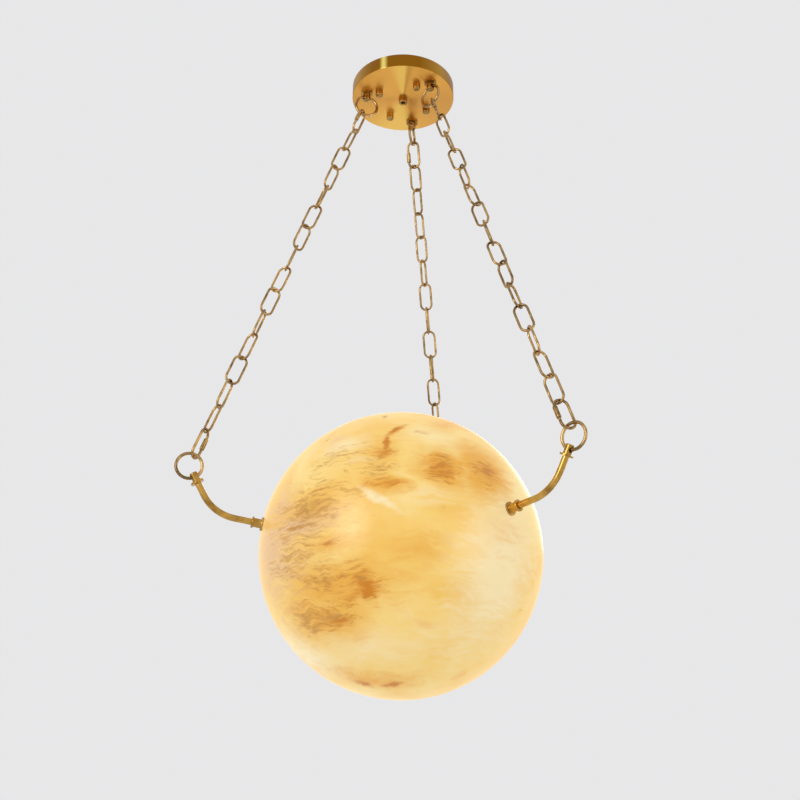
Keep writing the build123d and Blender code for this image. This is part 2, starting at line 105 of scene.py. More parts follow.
# Which leg of a connecting link carries its sleeve, and how far off the middle
SLEEVE_SIDE = {
    "upper": {"left": 1, "right": -1, "back": 1},
    "lower": {"left": -1, "right": -1, "back": 1},
}
SLEEVE_SHIFT = {
    "upper": {"left": -3.0, "right": -3.0, "back": 3.0},
    "lower": {"left": -3.0, "right": -3.0, "back": -3.0},
}
BALL_MIDDLE = Vector((0, 0, -BALL_DROP))
UP = Vector((0, 0, 1))


# Camera at the photograph's viewing angle

PICTURE_WIDTH = 800
SENSOR_WIDTH = 36.0
CAMERA_LENS = 45.0
CAMERA_PLACE = Vector((0.0, -1225.8, -976.5))
CAMERA_LIFT = 21.24
CAMERA_ROLL = -0.27

camera_data = bpy.data.cameras.new("camera")
camera = bpy.data.objects.new("camera", camera_data)
bpy.context.scene.collection.objects.link(camera)
camera_data.sensor_width = SENSOR_WIDTH
camera_data.lens = CAMERA_LENS
camera.location = CAMERA_PLACE * MM
camera.rotation_euler = (math.radians(90 + CAMERA_LIFT), math.radians(CAMERA_ROLL), 0)
bpy.context.scene.camera = camera


# Places on the lamp

def radial(name):
    angle = math.radians(ARM_AZIMUTH[name])
    return Vector((math.cos(angle), math.sin(angle), 0))


def tangent(name):
    return UP.cross(radial(name))


def spot(name, out, height):
    """A point in the upright plane of one chain and its arm."""
    return radial(name) * out + UP * height


def place(origin, along, side):
    """Turns a shape built on Z so that Z runs along the given direction and X points to the side."""
    z = along.normalized()
    x = (side - z * side.dot(z)).normalized()
    turn = Matrix((x, z.cross(x), z)).transposed().to_4x4()
    return Matrix.Translation(origin) @ turn


def turned(angle, axis="Z"):
    return Matrix.Rotation(math.radians(angle), 4, axis)


def shifted(x=0.0, y=0.0, z=0.0):
    return Matrix.Translation((x, y, z))


# Shaping

# Points closer than this, in millimetres, are one point
SAME_POINT = 1e-3


def piece(name, meshes, body, material, replaces=(), crease=40):
    """Joins shapes into one object in metres that rides on a body."""
    whole = bmesh.new()
    for shape in meshes:
        bmesh.ops.recalc_face_normals(shape, faces=shape.faces)
        scratch = bpy.data.meshes.new("scratch")
        shape.to_mesh(scratch)
        shape.free()
        whole.from_mesh(scratch)
        bpy.data.meshes.remove(scratch)
    bmesh.ops.scale(whole, vec=(MM, MM, MM), verts=whole.verts)
    for face in whole.faces:
        face.smooth = True
    limit = math.radians(crease)
    for edge in whole.edges:
        edge.smooth = edge.is_manifold and edge.calc_face_angle(0) < limit
    mesh = bpy.data.meshes.new(name)
    whole.to_mesh(mesh)
    whole.free()
    mesh.materials.append(material)
    thing = bpy.data.objects.new(name, mesh)
    bpy.context.scene.collection.objects.link(thing)
    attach(thing, body)
    if replaces:
        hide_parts(*replaces)


def moved(shape, matrix):
    bmesh.ops.transform(shape, matrix=matrix, verts=shape.verts)
    return shape


def lathe(outline, steps, closed=True):
    """A turned shape on Z from its outline in (radius, height)."""
    shape = bmesh.new()
    corners = [shape.verts.new((radius, 0, height)) for radius, height in outline]
    pairs = list(zip(corners, corners[1:]))
    if closed:
        pairs.append((corners[-1], corners[0]))
    edges = [shape.edges.new(pair) for pair in pairs]
    bmesh.ops.spin(
        shape, geom=corners + edges, cent=(0, 0, 0), axis=(0, 0, 1),
        angle=math.tau, steps=steps, use_merge=True,
    )
    bmesh.ops.remove_doubles(shape, verts=shape.verts, dist=SAME_POINT)
    return shape


def rounded(points, radius, steps=4):
    """The outline with each marked corner replaced by a small arc."""
    result = []
    count = len(points)
    for i, (x, z, soft) in enumerate(points):
        here = Vector((x, z))
        if not soft:
            result.append((x, z))
            continue
        before = (Vector(points[i - 1][:2]) - here).normalized()
        after = (Vector(points[(i + 1) % count][:2]) - here).normalized()
        half = before.angle(after) / 2
        reach = radius / math.tan(half)
        middle = here + (before + after).normalized() * radius / math.sin(half)
        start = here + before * reach - middle
        end = here + after * reach - middle
        for step in range(steps + 1):
            ray = start.lerp(end, step / steps).normalized() * radius
            result.append(tuple(middle + ray))
    return result


def wire_ring(radius, wire, around=64, section=16):
    """A closed ring of round wire in the XZ plane."""
    shape = bmesh.new()
    made = bmesh.ops.create_circle(shape, segments=section, radius=wire / 2)
    bmesh.ops.translate(shape, vec=(radius, 0, 0), verts=made["verts"])
    bmesh.ops.spin(
        shape, geom=shape.verts[:] + shape.edges[:], cent=(0, 0, 0), axis=(0, 1, 0),
        angle=math.tau, steps=around, use_merge=True,
    )
    bmesh.ops.remove_doubles(shape, verts=shape.verts, dist=SAME_POINT)
    return shape


def run(shape, section, vector):
    """Draws the open end of a wire on in a straight line and returns its new end."""
    made = bmesh.ops.extrude_edge_only(shape, edges=section)["geom"]
    verts = {item for item in made if isinstance(item, bmesh.types.BMVert)}
    edges = [item for item in made if isinstance(item, bmesh.types.BMEdge)]
    bmesh.ops.translate(shape, vec=vector, verts=list(verts))
    return [edge for edge in edges if verts.issuperset(edge.verts)]


def bend(shape, section, middle, axis, angle, steps):
    """Draws the open end of a wire round a bend and returns its new end."""
    verts = list({vert for edge in section for vert in edge.verts})
    made = bmesh.ops.spin(
        shape, geom=verts + section, cent=middle, axis=axis, angle=math.radians(angle), steps=steps,
    )
    return [item for item in made["geom_last"] if isinstance(item, bmesh.types.BMEdge)]


def swell(shape, section, amount):
    """Thickens the open end of a wire, for the bead of a weld."""
    verts = list({vert for edge in section for vert in edge.verts})
    middle = sum((vert.co for vert in verts), Vector()) / len(verts)
    for vert in verts:
        vert.co = middle + (vert.co - middle) * amount


# The weld of a chain link: the lengths of its two slopes and its crown, and its swelling
WELD_SLOPE = 0.66
WELD_CROWN = 0.88
WELD_SWELL = 0.10


def oval_link(length, width, wire, section=14, steps=14, welded=False):
    """A closed oval of wire in the XZ plane with its length along Z and any weld on its -X side."""
    shape = bmesh.new()
    side = (width - wire) / 2
    half = (length - width) / 2
    bmesh.ops.create_circle(shape, segments=section, radius=wire / 2)
    bmesh.ops.translate(shape, vec=(side, 0, -half), verts=shape.verts)
    end = list(shape.edges)
    end = run(shape, end, (0, 0, 2 * half))
    end = bend(shape, end, (0, 0, half), (0, -1, 0), 180, steps)
    if welded:
        plain_leg = (0, 0, WELD_SLOPE + WELD_CROWN / 2 - half)
        end = run(shape, end, plain_leg)
        end = run(shape, end, (0, 0, -WELD_SLOPE))
        swell(shape, end, 1 + WELD_SWELL)
        end = run(shape, end, (0, 0, -WELD_CROWN))
        end = run(shape, end, (0, 0, -WELD_SLOPE))
        swell(shape, end, 1 / (1 + WELD_SWELL))
        end = run(shape, end, plain_leg)
    else:
        end = run(shape, end, (0, 0, -2 * half))
    bend(shape, end, (0, 0, -half), (0, -1, 0), 180, steps)
    bmesh.ops.remove_doubles(shape, verts=shape.verts, dist=SAME_POINT)
    return shape


# Finishes

def material(name):
    made = bpy.data.materials.new(name)
    made.use_nodes = True
    nodes = made.node_tree.nodes
    shader = nodes["Principled BSDF"]
    return made, nodes, made.node_tree.links, shader


def add(nodes, kind, **settings):
    node = nodes.new(kind)
    for key, value in settings.items():
        setattr(node, key, value)
    return node


def ramp(nodes, stops):
    node = nodes.new("ShaderNodeValToRGB")
    elements = node.color_ramp.elements
    while len(elements) > 1:
        elements.remove(elements[-1])
    elements[0].position, elements[0].color = stops[0][0], (*stops[0][1], 1)
    for position, colour in stops[1:]:
        elements.new(position).color = (*colour, 1)
    return node


def joined(nodes, links, operation, first, second, clamp=False):
    node = add(nodes, "ShaderNodeMath", operation=operation, use_clamp=clamp)
    for socket, value in zip(node.inputs, (first, second)):
        if isinstance(value, (int, float)):
            socket.default_value = value
        else:
            links.new(value, socket)
    return node.outputs[0]


def blended(nodes, links, amount, first, second):
    node = add(nodes, "ShaderNodeMix", data_type="RGBA")
    links.new(amount, node.inputs[0])
    for socket, value in ((node.inputs[6], first), (node.inputs[7], second)):
        if isinstance(value, tuple):
            socket.default_value = (*value, 1)
        else:
            links.new(value, socket)
    return node.outputs[2]


def noise(nodes, links, vector, scale, detail, distortion=0.0, roughness=0.5):
    node = add(nodes, "ShaderNodeTexNoise")
    node.inputs["Scale"].default_value = scale
    node.inputs["Detail"].default_value = detail
    node.inputs["Distortion"].default_value = distortion
    node.inputs["Roughness"].default_value = roughness
    links.new(vector, node.inputs["Vector"])
    return node


def wear(nodes, links, shader, grain, smoothest, roughest, bump, depth):
    """Lets a grain vary the gloss and raise a fine relief."""
    gloss = add(nodes, "ShaderNodeMapRange")
    gloss.inputs["To Min"].default_value = smoothest
    gloss.inputs["To Max"].default_value = roughest
    links.new(grain.outputs["Fac"], gloss.inputs["Value"])
    links.new(gloss.outputs["Result"], shader.inputs["Roughness"])
    relief = add(nodes, "ShaderNodeBump")
    relief.inputs["Strength"].default_value = bump
    relief.inputs["Distance"].default_value = depth
    links.new(grain.outputs["Fac"], relief.inputs["Height"])
    links.new(relief.outputs["Normal"], shader.inputs["Normal"])


# Grain and tarnish of the polished brasses, in patches to the metre
BRASS_GRAIN = 160.0
BRASS_TARNISH = 60.0
RELIEF_DEPTH = 0.0002


def brass(name, light, dark, roughness, bump):
    """Polished brass with faint tarnish, fine scratches and uneven gloss."""
    made, nodes, links, shader = material(name)
    shader.inputs["Metallic"].default_value = 1.0
    coords = add(nodes, "ShaderNodeTexCoord").outputs["Object"]
    grain = noise(nodes, links, coords, BRASS_GRAIN, 4)
    tarnish = noise(nodes, links, coords, BRASS_TARNISH, 5, roughness=0.6)
    colour = ramp(nodes, [(0.35, dark), (0.62, light)])
    links.new(tarnish.outputs["Fac"], colour.inputs["Fac"])
    links.new(colour.outputs["Color"], shader.inputs["Base Color"])
    wear(nodes, links, shader, grain, roughness * 0.75, roughness * 1.3, bump, RELIEF_DEPTH)
    return made


chain_brass = brass("chain_brass", (0.54, 0.34, 0.13), (0.20, 0.12, 0.045), roughness=0.22, bump=0.015)
arm_brass = brass("arm_brass", (0.62, 0.36, 0.08), (0.32, 0.17, 0.035), roughness=0.14, bump=0.012)
eye_brass = brass("eye_brass", (0.50, 0.29, 0.08), (0.26, 0.14, 0.035), roughness=0.18, bump=0.015)


# Painted highlights and shade in the canopy's colour round its axis, from -180 degrees (0) to 180 degrees
# (1)
PAINTED_SHADE_GOLD = (0.78, 0.39, 0.085)
WARM_GOLD = (0.90, 0.46, 0.09)
PAINTED_HIGHLIGHT_GOLD = (1.0, 0.62, 0.13)
SIDE_PAINTED_SHADE = (0.30, 0.12, 0.006)
SIDE_PAINTED_REFLECTION = (0.46, 0.24, 0.03)
SIDE_PAINTED_HIGHLIGHT = (1.0, 0.80, 0.20)
SHADED_GOLD = (0.66, 0.34, 0.06)
# The face: a painted fan of bright highlight bands and darker shaded sectors
FACE_PAINTED_SHEEN = [
    (0.00, PAINTED_SHADE_GOLD), (0.10, WARM_GOLD), (0.20, WARM_GOLD), (0.235, PAINTED_HIGHLIGHT_GOLD), (0.255, PAINTED_HIGHLIGHT_GOLD),
    (0.268, SHADED_GOLD), (0.29, WARM_GOLD), (0.40, WARM_GOLD), (0.49, PAINTED_SHADE_GOLD), (0.58, PAINTED_SHADE_GOLD),
    (0.68, WARM_GOLD), (0.74, PAINTED_HIGHLIGHT_GOLD), (0.80, PAINTED_HIGHLIGHT_GOLD), (0.90, WARM_GOLD), (1.00, PAINTED_SHADE_GOLD),
]
# The side: painted shade, lighter painted reflections and two narrow painted highlight strips
SIDE_PAINTED_SHEEN = [
    (0.00, SIDE_PAINTED_SHADE), (0.08, SIDE_PAINTED_REFLECTION), (0.15, SIDE_PAINTED_SHADE), (0.176, SIDE_PAINTED_SHADE), (0.187, SIDE_PAINTED_HIGHLIGHT),
    (0.191, SIDE_PAINTED_HIGHLIGHT), (0.203, SIDE_PAINTED_SHADE), (0.30, SIDE_PAINTED_SHADE), (0.38, SIDE_PAINTED_REFLECTION), (0.45, SIDE_PAINTED_SHADE),
    (0.58, SIDE_PAINTED_REFLECTION), (0.68, SIDE_PAINTED_SHADE), (0.71, SIDE_PAINTED_HIGHLIGHT), (0.74, SIDE_PAINTED_SHADE), (0.86, SIDE_PAINTED_REFLECTION),
    (1.00, SIDE_PAINTED_SHADE),
]
# The face's painted fan gives way to the side's painted shade and highlights between these distances from
# the canopy's edge
FACE_ENDS = 0.6
SIDE_STARTS = 0.3
TURNING_MARKS = 2600.0


def turned_brass_painted_sheen():
    """Turned brass of the canopy: fine rings round its axis, and painted highlights and shade in its colour
    that fan out from the middle and streak its side.
    """
    made, nodes, links, shader = material("canopy_brass")
    shader.inputs["Metallic"].default_value = 1.0
    shader.inputs["Anisotropic"].default_value = 0.75
    coords = add(nodes, "ShaderNodeTexCoord")
    apart = add(nodes, "ShaderNodeSeparateXYZ")
    links.new(coords.outputs["Object"], apart.inputs["Vector"])
    flat = add(nodes, "ShaderNodeCombineXYZ")
    links.new(apart.outputs["X"], flat.inputs["X"])
    links.new(apart.outputs["Y"], flat.inputs["Y"])
    out = add(nodes, "ShaderNodeVectorMath", operation="LENGTH")
    links.new(flat.outputs["Vector"], out.inputs[0])
    tool = add(nodes, "ShaderNodeCombineXYZ")
    links.new(out.outputs["Value"], tool.inputs["X"])
    links.new(apart.outputs["Z"], tool.inputs["Y"])
    marks = noise(nodes, links, tool.outputs["Vector"], TURNING_MARKS, 3)
    fan = add(nodes, "ShaderNodeTexGradient", gradient_type="RADIAL")
    links.new(flat.outputs["Vector"], fan.inputs["Vector"])
    # These ramps paint highlights and shade into the colour round the axis
    face = ramp(nodes, FACE_PAINTED_SHEEN)
    side = ramp(nodes, SIDE_PAINTED_SHEEN)
    links.new(fan.outputs["Fac"], face.inputs["Fac"])
    links.new(fan.outputs["Fac"], side.inputs["Fac"])
    rim = add(nodes, "ShaderNodeMapRange")
    rim.inputs["From Min"].default_value = (CANOPY_RADIUS - FACE_ENDS) * MM
    rim.inputs["From Max"].default_value = (CANOPY_RADIUS - SIDE_STARTS) * MM
    links.new(out.outputs["Value"], rim.inputs["Value"])
    colour = blended(nodes, links, rim.outputs["Result"], face.outputs["Color"], side.outputs["Color"])
    links.new(colour, shader.inputs["Base Color"])
    wear(nodes, links, shader, marks, 0.26, 0.38, bump=0.08, depth=RELIEF_DEPTH / 2)
    grain = add(nodes, "ShaderNodeTangent", direction_type="RADIAL", axis="Z")
    links.new(grain.outputs["Tangent"], shader.inputs["Tangent"])
    return made


canopy_brass = turned_brass_painted_sheen()


def plain(name, colour, roughness, metallic=0.0, scale=300.0, depth=0.12):
    """Plain hardware finishes, each with a fine mottle in colour and gloss."""
    made, nodes, links, shader = material(name)
    shader.inputs["Metallic"].default_value = metallic
    coords = add(nodes, "ShaderNodeTexCoord").outputs["Object"]
    grain = noise(nodes, links, coords, scale, 4)
    darker = tuple(channel * (1 - depth) for channel in colour)
    tint = ramp(nodes, [(0.3, darker), (0.7, colour)])
    links.new(grain.outputs["Fac"], tint.inputs["Fac"])
    links.new(tint.outputs["Color"], shader.inputs["Base Color"])
    wear(nodes, links, shader, grain, roughness * 0.8, roughness * 1.25, bump=0.05, depth=RELIEF_DEPTH)
    return made


zinc_steel = plain("zinc_steel", (0.50, 0.51, 0.52), 0.55, metallic=1.0, scale=120, depth=0.25)
terminal_brass = plain("terminal_brass", (0.80, 0.62, 0.32), 0.3, metallic=1.0, scale=200)
porcelain = plain("porcelain", (0.90, 0.89, 0.86), 0.15, scale=60, depth=0.04)
terminal_plastic = plain("terminal_plastic", (0.84, 0.83, 0.79), 0.5, scale=400)
silicone = plain("silicone", (0.80, 0.79, 0.74), 0.6, scale=250)
cap_metal = plain("lamp_cap_metal", (0.76, 0.76, 0.78), 0.3, metallic=1.0, scale=150)
lamp_glass = plain("lamp_glass", (0.95, 0.93, 0.86), 0.25, scale=50, depth=0.03)
glass_shader = lamp_glass.node_tree.nodes["Principled BSDF"]
glass_shader.inputs["Emission Color"].default_value = (1.0, 0.80, 0.52, 1)
glass_shader.inputs["Emission Strength"].default_value = 1.0


# Marble: a lit cream stone with pale clouds, amber and rusty stains and fine olive streaks

# Stains of the side that the camera sees, placed on a view of the ball enlarged five times:
# x, y, length and width in that view's pixels, slant from level in degrees, and strength
VIEW_CORNER = Vector((250, 408))
VIEW_ENLARGED = 5
SEEN_STAINS = {
    "pale": [
        (640, 440, 190, 34, -28, 0.8), (470, 180, 90, 120, 60, 0.6), (300, 1240, 260, 90, -25, 0.7),
        (900, 430, 420, 120, 5, 0.35), (900, 130, 300, 90, -20, 0.35), (1000, 1150, 700, 260, 0, 0.3),
        (560, 250, 140, 40, 10, 0.4),
    ],
    "amber": [
        (650, 200, 240, 150, 30, 0.45), (690, 378, 230, 70, -5, 0.9), (830, 720, 300, 180, 20, 0.45),
        (450, 890, 520, 230, 0, 0.75), (620, 930, 240, 110, 0, 0.6), (350, 1065, 360, 210, 0, 0.7),
        (620, 1360, 380, 70, -5, 0.65), (975, 295, 240, 160, -20, 0.9), (1170, 310, 230, 170, -20, 0.95),
        (1010, 72, 120, 12, -5, 0.7), (1055, 1335, 80, 26, 20, 0.5), (900, 1065, 200, 50, 0, 0.3),
        (300, 520, 420, 220, 20, 0.5), (360, 690, 320, 120, 8, 0.55), (1280, 620, 240, 160, -40, 0.3),
    ],
    "peach": [
        (110, 720, 420, 170, 88, 0.7), (230, 600, 260, 90, 20, 0.8), (160, 480, 220, 90, 60, 0.5),
        (430, 160, 120, 60, 40, 0.4),
    ],
    "rust": [
        (727, 108, 100, 24, 32, 0.95), (683, 165, 85, 36, 80, 0.95), (675, 212, 120, 46, 0, 0.75),
        (690, 378, 180, 36, -5, 0.6), (375, 675, 120, 34, 5, 0.6), (590, 900, 150, 120, -50, 0.85),
        (550, 862, 80, 60, 0, 0.7), (592, 935, 80, 50, 20, 1.0), (650, 935, 110, 50, -5, 0.45),
        (520, 945, 170, 60, 25, 0.6), (490, 988, 130, 26, 8, 0.6), (430, 1062, 120, 44, 12, 0.85),
        (385, 1012, 110, 46, 10, 0.55), (560, 1375, 80, 26, -15, 0.9), (700, 1378, 100, 20, 6, 0.85),
        (955, 300, 155, 108, -15, 0.7), (1180, 318, 92, 84, 0, 0.7), (440, 870, 180, 80, 10, 0.4),
    ],
    "olive": [
        (640, 238, 80, 16, 6, 0.8), (662, 268, 80, 16, 0, 1.0), (575, 262, 70, 10, 5, 0.5),
        (650, 362, 120, 20, 4, 0.7), (590, 312, 110, 12, 8, 0.5), (655, 322, 70, 10, 0, 0.6),
        (345, 290, 110, 34, 25, 0.5), (385, 270, 70, 12, 15, 0.7), (455, 325, 70, 14, 0, 0.6),
        (485, 402, 140, 32, -8, 1.0), (350, 408, 150, 22, 14, 0.8), (380, 437, 110, 16, 3, 0.9),
        (235, 487, 80, 24, 20, 0.9), (300, 500, 280, 110, 18, 0.75), (372, 530, 70, 26, -20, 0.8),
        (240, 598, 200, 40, 18, 0.8), (330, 577, 90, 18, 10, 0.6), (290, 697, 120, 16, 6, 0.8),
        (360, 672, 120, 22, 4, 0.5), (360, 775, 110, 18, 10, 0.7), (200, 800, 90, 34, -60, 0.5),
        (125, 800, 90, 80, -45, 0.5), (290, 1060, 100, 80, 45, 0.75), (340, 1112, 70, 56, 30, 0.8),
        (345, 1152, 50, 22, -20, 0.7), (560, 862, 70, 46, 0, 0.6), (585, 940, 60, 34, 20, 0.6),
        (990, 275, 70, 44, -20, 0.6), (1178, 320, 44, 20, 0, 0.9), (870, 125, 80, 26, -10, 0.45),
        (770, 537, 70, 22, -5, 0.4), (957, 505, 40, 12, 10, 0.6), (1350, 1015, 18, 16, 0, 0.6),
        (675, 44, 30, 12, 5, 0.9), (400, 140, 110, 12, 36, 0.6), (430, 880, 160, 60, 8, 0.35),
    ],
}

# Stains of the other sides and broad ones, placed on the ball: azimuth, latitude and slant in degrees,
# half the length and half the width in shares of the ball's radius, and strength
OTHER_STAINS = {
    "pale": [
        # The first pale patch, low on the front, is painted light that lifts the shade of the ball's
        # underside; the rest are the stone's own clouds
        (-108, -48, 0, 0.34, 0.14, 0.45), (-48, -14, 80, 0.5, 0.26, 0.75), (100, -25, -20, 0.3, 0.1, 0.6),
        (30, 0, 20, 0.3, 0.12, 0.5), (135, -45, 5, 0.3, 0.15, 0.6), (70, 35, -15, 0.28, 0.1, 0.6),
    ],
    "amber": [
        (40, 20, -10, 0.22, 0.12, 0.8), (75, -15, 10, 0.3, 0.14, 0.75), (120, 25, 15, 0.25, 0.12, 0.8),
        (150, -25, -10, 0.28, 0.14, 0.7), (15, -35, 10, 0.25, 0.1, 0.6), (178, 12, 5, 0.2, 0.1, 0.6),
    ],
    "peach": [],
    "rust": [
        (43, 22, -10, 0.12, 0.06, 0.7), (80, -14, 10, 0.14, 0.06, 0.7), (122, 27, 15, 0.12, 0.05, 0.8),
        (95, 50, 40, 0.12, 0.03, 0.95), (150, -24, -10, 0.13, 0.06, 0.6),
    ],
    "olive": [
        (-128, 4, 12, 0.34, 0.22, 0.54), (-133, -12, 8, 0.3, 0.18, 0.5), (-122, -20, 0, 0.24, 0.1, 0.55),
        (-118, 28, 10, 0.18, 0.09, 0.55), (-128, -34, 10, 0.22, 0.11, 0.62), (-100, 20, 0, 0.14, 0.1, 0.55),
        (-73, 22, -20, 0.12, 0.1, 0.38), (-55, 22, 10, 0.1, 0.12, 0.38), (60, 5, 15, 0.3, 0.16, 0.55),
        (110, -5, 10, 0.28, 0.16, 0.5), (135, 15, -10, 0.2, 0.1, 0.55), (165, -10, 10, 0.25, 0.14, 0.5),
        (85, -40, 5, 0.2, 0.1, 0.5),
    ],
}

# Colours as they look on a screen, 0 to 255
GROUND = [(0.33, (247, 196, 92)), (0.50, (252, 211, 118)), (0.68, (254, 224, 144))]
STONE = {
    "pale": (255, 232, 178), "amber": (240, 178, 72), "peach": (236, 192, 138),
    "rust": (208, 128, 18), "olive": (198, 142, 62),
}
# How far the streaks of the stone break each kind of stain up
BREAK_UP = {"pale": 0.5, "amber": 0.6, "peach": 0.7, "rust": 1.0, "olive": 1.3}

# Olive streaks with a smaller half width than the first value are weaker, and none is finer than the last
THIN_STREAK = 0.025
THIN_STRENGTH = 0.72
FINEST_STREAK = 0.015

# Swirls that bend the pattern, each with its scale and its reach in shares of the ball's radius
SWIRLS = ((4.0, 0.14), (13.0, 0.035))
# The streaks follow thin layers that slope down to one side
BEDDING_SLOPE = 16.0
BEDDING_SQUEEZE = 5.0
# Values of the streaks' noise where it starts to break the stains up and where it does so most
STREAK_START = 0.66
STREAK_END = 0.40
STREAK_DEPTH = 0.62
STAIN_CONTRAST = 1.3
# Strength of a stain's patch in its middle, from where it fades outwards, and how far it reaches inwards
PATCH_STRENGTH = 1.6
PATCH_DEPTH = 0.6
# The lit stone: the share of its colour that is paint, its glow and its gloss
STONE_BODY = 0.42
STONE_GLOW = 0.67
STONE_POLISH = 0.3


def screen_colour(red, green, blue):
    """The shader's colour for one given as it looks on a screen."""
    return tuple(((channel / 255 + 0.055) / 1.055) ** 2.4 for channel in (red, green, blue))


def seen_on_ball(pixel):
    """The direction from the ball's middle to the place that the camera sees at a pixel."""
    focal_length = PICTURE_WIDTH * CAMERA_LENS / SENSOR_WIDTH
    middle = PICTURE_WIDTH / 2
    sight = Vector((pixel.x - middle, middle - pixel.y, -focal_length))
    sight = (camera.rotation_euler.to_matrix() @ sight).normalized()
    eye = CAMERA_PLACE - BALL_MIDDLE
    ahead = eye.dot(sight)
    inside = max(ahead ** 2 - eye.length_squared + BALL_RADIUS ** 2, 0)
    return (eye - sight * (ahead + math.sqrt(inside))).normalized()


def seen_stain(x, y, length, width, slant):
    """Place and direction on the ball of a stain marked in the enlarged view, and half its sizes."""
    pixel = VIEW_CORNER + Vector((x, y)) / VIEW_ENLARGED
    tilt = math.radians(slant)
    ahead = Vector((math.cos(tilt), -math.sin(tilt)))
    aside = Vector((-ahead.y, ahead.x))
    along = seen_on_ball(pixel + ahead) - seen_on_ball(pixel - ahead)
    across = seen_on_ball(pixel + aside) - seen_on_ball(pixel - aside)
    share = 1 / (4 * VIEW_ENLARGED)
    return seen_on_ball(pixel), along, length * share * along.length, width * share * across.length


def laid_stain(azimuth, latitude, slant, half_length, half_width):
    """Place and direction of a stain given by its place on the ball, and half its sizes."""
    out = turned(azimuth) @ turned(-latitude, "Y") @ Vector((1, 0, 0))
    east = UP.cross(out).normalized()
    tilt = math.radians(slant)
    along = east * math.cos(tilt) + out.cross(east) * math.sin(tilt)
    return out, along, half_length, half_width


def stains(kind):
    """All stains of one kind: place, direction, half length, half width and strength."""
    found = [(*seen_stain(*row[:5]), row[5]) for row in SEEN_STAINS[kind]]
    if kind == "olive":
        found = [
            (*row[:3], max(row[3], FINEST_STREAK), row[4] * THIN_STRENGTH) if row[3] < THIN_STREAK else row
            for row in found
        ]
    return found + [(*laid_stain(*row[:5]), row[5]) for row in OTHER_STAINS[kind]]


def stain_mask(nodes, links, vector, kind):
    """How strongly one kind of stain colours the stone, 0 to 1."""
    whole = None
    for out, along, half_length, half_width, strength in stains(kind):
        patch = add(nodes, "ShaderNodeTexGradient", gradient_type="SPHERICAL")
        patch.texture_mapping.vector_type = "TEXTURE"
        patch.texture_mapping.translation = out
        patch.texture_mapping.rotation = place(Vector(), out, along).to_euler()
        patch.texture_mapping.scale = (half_length * 2, half_width * 2, PATCH_DEPTH)
        links.new(vector, patch.inputs["Vector"])
        faded = joined(nodes, links, "MULTIPLY", patch.outputs["Fac"], strength * PATCH_STRENGTH)
        whole = joined(nodes, links, "MAXIMUM", whole, faded) if whole else faded
    return whole


def swirled(nodes, links, stone, scale, reach):
    """The stone's coordinates, pushed about by a noise."""
    swirl = noise(nodes, links, stone, scale, 3)
    shift = add(nodes, "ShaderNodeVectorMath", operation="MULTIPLY_ADD")
    links.new(swirl.outputs["Color"], shift.inputs[0])
    shift.inputs[1].default_value = (reach,) * 3
    shift.inputs[2].default_value = (-reach / 2,) * 3
    pushed = add(nodes, "ShaderNodeVectorMath", operation="ADD")
    links.new(stone, pushed.inputs[0])
    links.new(shift.outputs["Vector"], pushed.inputs[1])
    return pushed.outputs["Vector"]


def marble_finish():
    made, nodes, links, shader = material("marble")
    coords = add(nodes, "ShaderNodeTexCoord")
    centred = add(nodes, "ShaderNodeMapping", vector_type="TEXTURE")
    centred.inputs["Location"].default_value = BALL_MIDDLE * MM
    centred.inputs["Scale"].default_value = (BALL_RADIUS * MM,) * 3
    links.new(coords.outputs["Object"], centred.inputs["Vector"])
    stone = centred.outputs["Vector"]
    for scale, reach in SWIRLS:
        stone = swirled(nodes, links, stone, scale, reach)
    bedding = add(nodes, "ShaderNodeMapping")
    bedding.inputs["Rotation"].default_value = (0, math.radians(BEDDING_SLOPE), 0)
    bedding.inputs["Scale"].default_value = (1.0, 1.0, BEDDING_SQUEEZE)
    links.new(stone, bedding.inputs["Vector"])
    layers = bedding.outputs["Vector"]
    cloud = noise(nodes, links, stone, 1.7, 5, 0.4)
    tint = ramp(nodes, [(position, screen_colour(*colour)) for position, colour in GROUND])
    links.new(cloud.outputs["Fac"], tint.inputs["Fac"])
    colour = tint.outputs["Color"]
    broad = noise(nodes, links, layers, 5.0, 6, distortion=0.8, roughness=0.62)
    fine = noise(nodes, links, layers, 10.0, 6, distortion=0.45, roughness=0.66)
    streaks = {"pale": broad, "amber": broad, "peach": broad, "rust": fine, "olive": fine}
    for kind, streak in streaks.items():
        mask = stain_mask(nodes, links, stone, kind)
        cut = add(nodes, "ShaderNodeMapRange")
        cut.inputs["From Min"].default_value = STREAK_START
        cut.inputs["From Max"].default_value = STREAK_END
        cut.inputs["To Max"].default_value = BREAK_UP[kind]
        links.new(streak.outputs["Fac"], cut.inputs["Value"])
        bite = joined(nodes, links, "MULTIPLY", cut.outputs["Result"], STREAK_DEPTH)
        left = joined(nodes, links, "SUBTRACT", mask, bite, clamp=True)
        amount = joined(nodes, links, "MULTIPLY", left, STAIN_CONTRAST, clamp=True)
        colour = blended(nodes, links, amount, colour, screen_colour(*STONE[kind]))
    body = add(nodes, "ShaderNodeVectorMath", operation="SCALE")
    links.new(colour, body.inputs[0])
    body.inputs["Scale"].default_value = STONE_BODY
    links.new(body.outputs["Vector"], shader.inputs["Base Color"])
    links.new(colour, shader.inputs["Emission Color"])
    shader.inputs["Emission Strength"].default_value = STONE_GLOW
    shader.inputs["Roughness"].default_value = STONE_POLISH
    return made


marble = marble_finish()


# Canopy and the hardware on its underside

